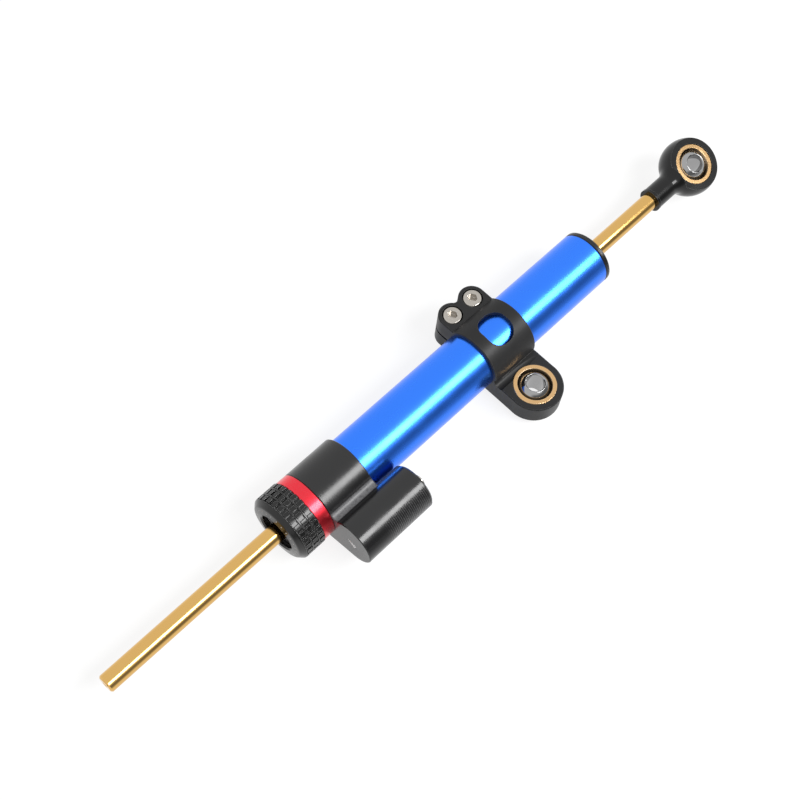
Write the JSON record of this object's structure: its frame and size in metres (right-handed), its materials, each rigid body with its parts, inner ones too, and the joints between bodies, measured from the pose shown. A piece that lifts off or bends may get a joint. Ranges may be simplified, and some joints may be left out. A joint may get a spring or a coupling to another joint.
{
  "type": "motorcycle steering damper",
  "caption": "Through-rod hydraulic steering damper with a side reservoir, a clicking adjuster knob, a tube clamp with a ball eye, and a ball rod end.",
  "frame": {"origin": "centre of the spherical bearing in the clamp", "axes": "+Z along the clamp bearing's bore, away from its mounting side; +X along the damper towards the rod end"},
  "size_m": [0.3631, 0.063, 0.0306],
  "materials": {
    "blue_anodised": "satin blue anodised",
    "black_anodised": "glossy black anodised",
    "dark_aluminium": "dark anodised",
    "red_anodised": "satin red anodised",
    "plain_aluminium": "turned",
    "gold_rod": "polished gold hard anodised",
    "stainless": "bright stainless",
    "bronze": "turned bronze",
    "ball_chrome": "polished hard chrome",
    "seal_rubber": "matt nitrile rubber",
    "guide_plastic": "filled bearing plastic"
  },
  "bodies": {
    "damper_body": {"cylinder_tube": "blue_anodised", "front_gland": "black_anodised", "front_gland_o_ring": "seal_rubber", "front_bush": "bronze", "front_rod_seal": "seal_rubber", "front_wiper": "seal_rubber", "reservoir_block": "black_anodised", "tube_o_ring": "seal_rubber", "rear_bush": "bronze", "rear_rod_seal": "seal_rubber", "gland_nut": "dark_aluminium", "rear_wiper": "seal_rubber", "index_ring": "red_anodised", "detent_ball": "stainless", "detent_spring": "stainless", "reservoir_cap": "black_anodised", "reservoir_cap_o_ring": "seal_rubber", "reservoir_circlip": "stainless", "fill_screw": "stainless", "mounting_clamp": "black_anodised", "clamp_screws": "stainless", "clamp_race": "bronze"},
    "piston_guide": {"piston_wear_ring": "guide_plastic"},
    "rod_assembly": {"piston_rod": "gold_rod", "piston": "plain_aluminium", "piston_seal": "seal_rubber", "piston_circlips": "stainless", "rod_end_housing": "black_anodised", "rod_end_race": "bronze"},
    "rod_end_bearing": {"rod_end_ball": "ball_chrome"},
    "clamp_bearing": {"clamp_ball": "ball_chrome"},
    "adjuster": {"adjuster_knob": "black_anodised"},
    "needle": {"bypass_needle": "stainless", "needle_o_ring": "seal_rubber"},
    "gas_piston": {"floating_piston": "plain_aluminium", "floating_piston_o_ring": "seal_rubber"}
  },
  "joints": [
    {"name": "rod_slide", "type": "slide", "parent": "damper_body", "child": "piston_guide", "axis": [1, 0, 0], "range_m": [-0.04, 0.08]},
    {"name": "rod_spin", "type": "hinge", "parent": "piston_guide", "child": "rod_assembly", "pos_m": [0, 0.0266, 0.0067], "axis": [1, 0, 0], "continuous": true},
    {"name": "rod_end_tilt", "type": "hinge", "parent": "rod_assembly", "child": "rod_end_bearing", "pos_m": [0.1355, 0.0266, 0.0067], "axis": [1, 0, 0], "range_deg": [-12, 12]},
    {"name": "clamp_tilt", "type": "hinge", "parent": "damper_body", "child": "clamp_bearing", "pos_m": [0, 0, 0], "axis": [1, 0, 0], "range_deg": [-12, 12]},
    {"name": "adjuster_turn", "type": "hinge", "parent": "damper_body", "child": "adjuster", "pos_m": [-0.12, 0.0266, 0.0067], "axis": [1, 0, 0], "range_deg": [-162, 162]},
    {"name": "needle_slide", "type": "slide", "parent": "damper_body", "child": "needle", "axis": [1, 0, 0], "range_m": [-0.001, 0.001]},
    {"name": "gas_piston_slide", "type": "slide", "parent": "damper_body", "child": "gas_piston", "axis": [1, 0, 0], "range_m": [-0.004, 0.004]}
  ],
  "couplings": [
    {"joint": "needle_slide", "follows": "adjuster_turn", "m_per_rad": 0.00035368}
  ]
}
